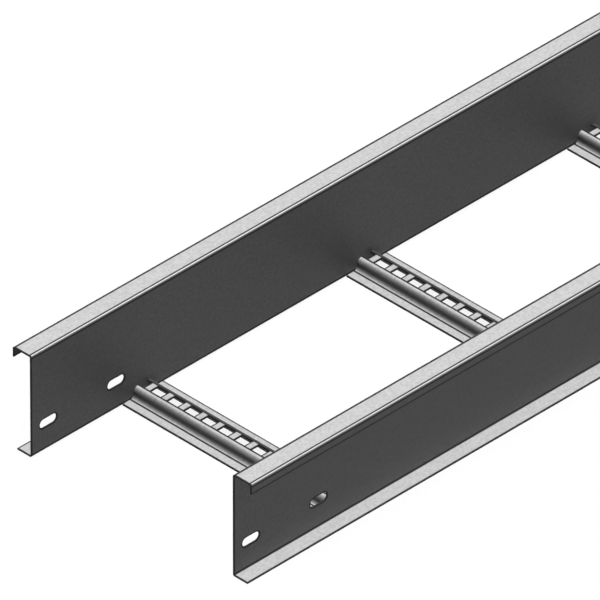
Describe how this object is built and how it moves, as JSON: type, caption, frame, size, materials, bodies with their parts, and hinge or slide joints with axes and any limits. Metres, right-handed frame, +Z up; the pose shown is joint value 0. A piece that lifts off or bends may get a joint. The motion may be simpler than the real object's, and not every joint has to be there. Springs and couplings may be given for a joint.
{
  "type": "cable ladder section",
  "caption": "Straight steel cable ladder section: two folded channel rails with outward flanges joined by slotted hat-section rungs that carry cables.",
  "frame": {"origin": "middle of the ladder's footprint, on the plane of the rails' undersides", "axes": "+X along the rails, away from the end the picture shows; +Y across the ladder towards the left rail; +Z up, towards the open side that the cables are laid in from"},
  "size_m": [3, 0.354, 0.13],
  "materials": {
    "rail_steel": "galvanised sheet steel, matt grey",
    "rung_steel": "galvanised sheet steel, matt grey"
  },
  "bodies": {
    "root": {"rail_left": "rail_steel", "rail_right": "rail_steel", "rung_1": "rung_steel", "rung_2": "rung_steel", "rung_3": "rung_steel", "rung_4": "rung_steel", "rung_5": "rung_steel", "rung_6": "rung_steel", "rung_7": "rung_steel", "rung_8": "rung_steel", "rung_9": "rung_steel"}
  },
  "joints": []
}
